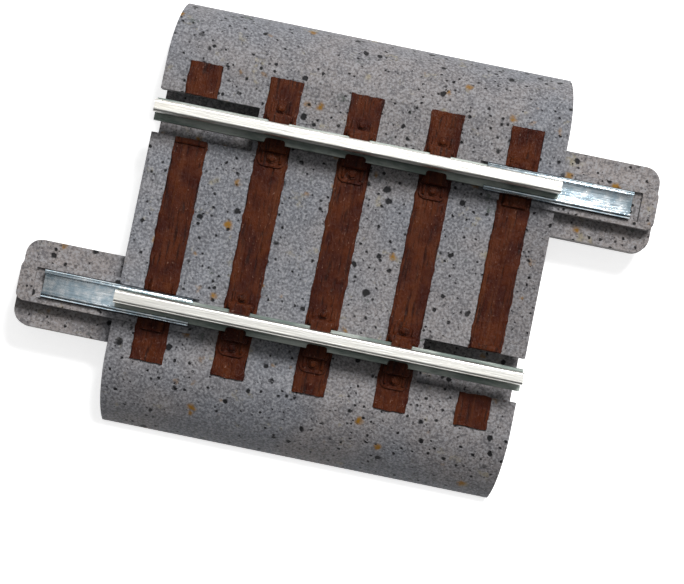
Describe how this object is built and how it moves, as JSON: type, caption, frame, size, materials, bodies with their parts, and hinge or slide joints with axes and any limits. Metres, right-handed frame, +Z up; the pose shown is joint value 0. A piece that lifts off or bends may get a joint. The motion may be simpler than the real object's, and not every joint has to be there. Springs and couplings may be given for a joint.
{
  "type": "model track section",
  "caption": "Short straight length of model railway track: rails in chaired sleepers on a moulded ballast bed, with a sliding rail joiner and a tongue at opposite corners.",
  "frame": {"origin": "middle of the base, on the surface the section lies on", "axes": "+X along the track, +Y across the track, +Z up; half a turn about Z leaves the section unchanged"},
  "size_m": [0.0304, 0.0216, 0.0052],
  "materials": {
    "ballast": "matte grey moulding with dark and ochre specks",
    "sleeper": "semi-gloss reddish brown",
    "rail": "drawn nickel silver",
    "joiner": "bright bluish zinc plate"
  },
  "bodies": {
    "bed": {"ballast_bed": "ballast", "sleeper_1": "sleeper", "sleeper_1_stub": "sleeper", "sleeper_2": "sleeper", "sleeper_3": "sleeper", "sleeper_4": "sleeper", "sleeper_5": "sleeper", "sleeper_5_stub": "sleeper", "rail_far": "rail", "rail_near": "rail"},
    "joiner_right": {"joiner_right": "joiner"},
    "joiner_left": {"joiner_left": "joiner"}
  },
  "joints": [
    {"name": "joiner_right_slide", "type": "slide", "parent": "bed", "child": "joiner_right", "axis": [1, 0, 0], "range_m": [-0.00025, 0.0004]},
    {"name": "joiner_left_slide", "type": "slide", "parent": "bed", "child": "joiner_left", "axis": [-1, 0, 0], "range_m": [-0.00025, 0.0004]}
  ]
}
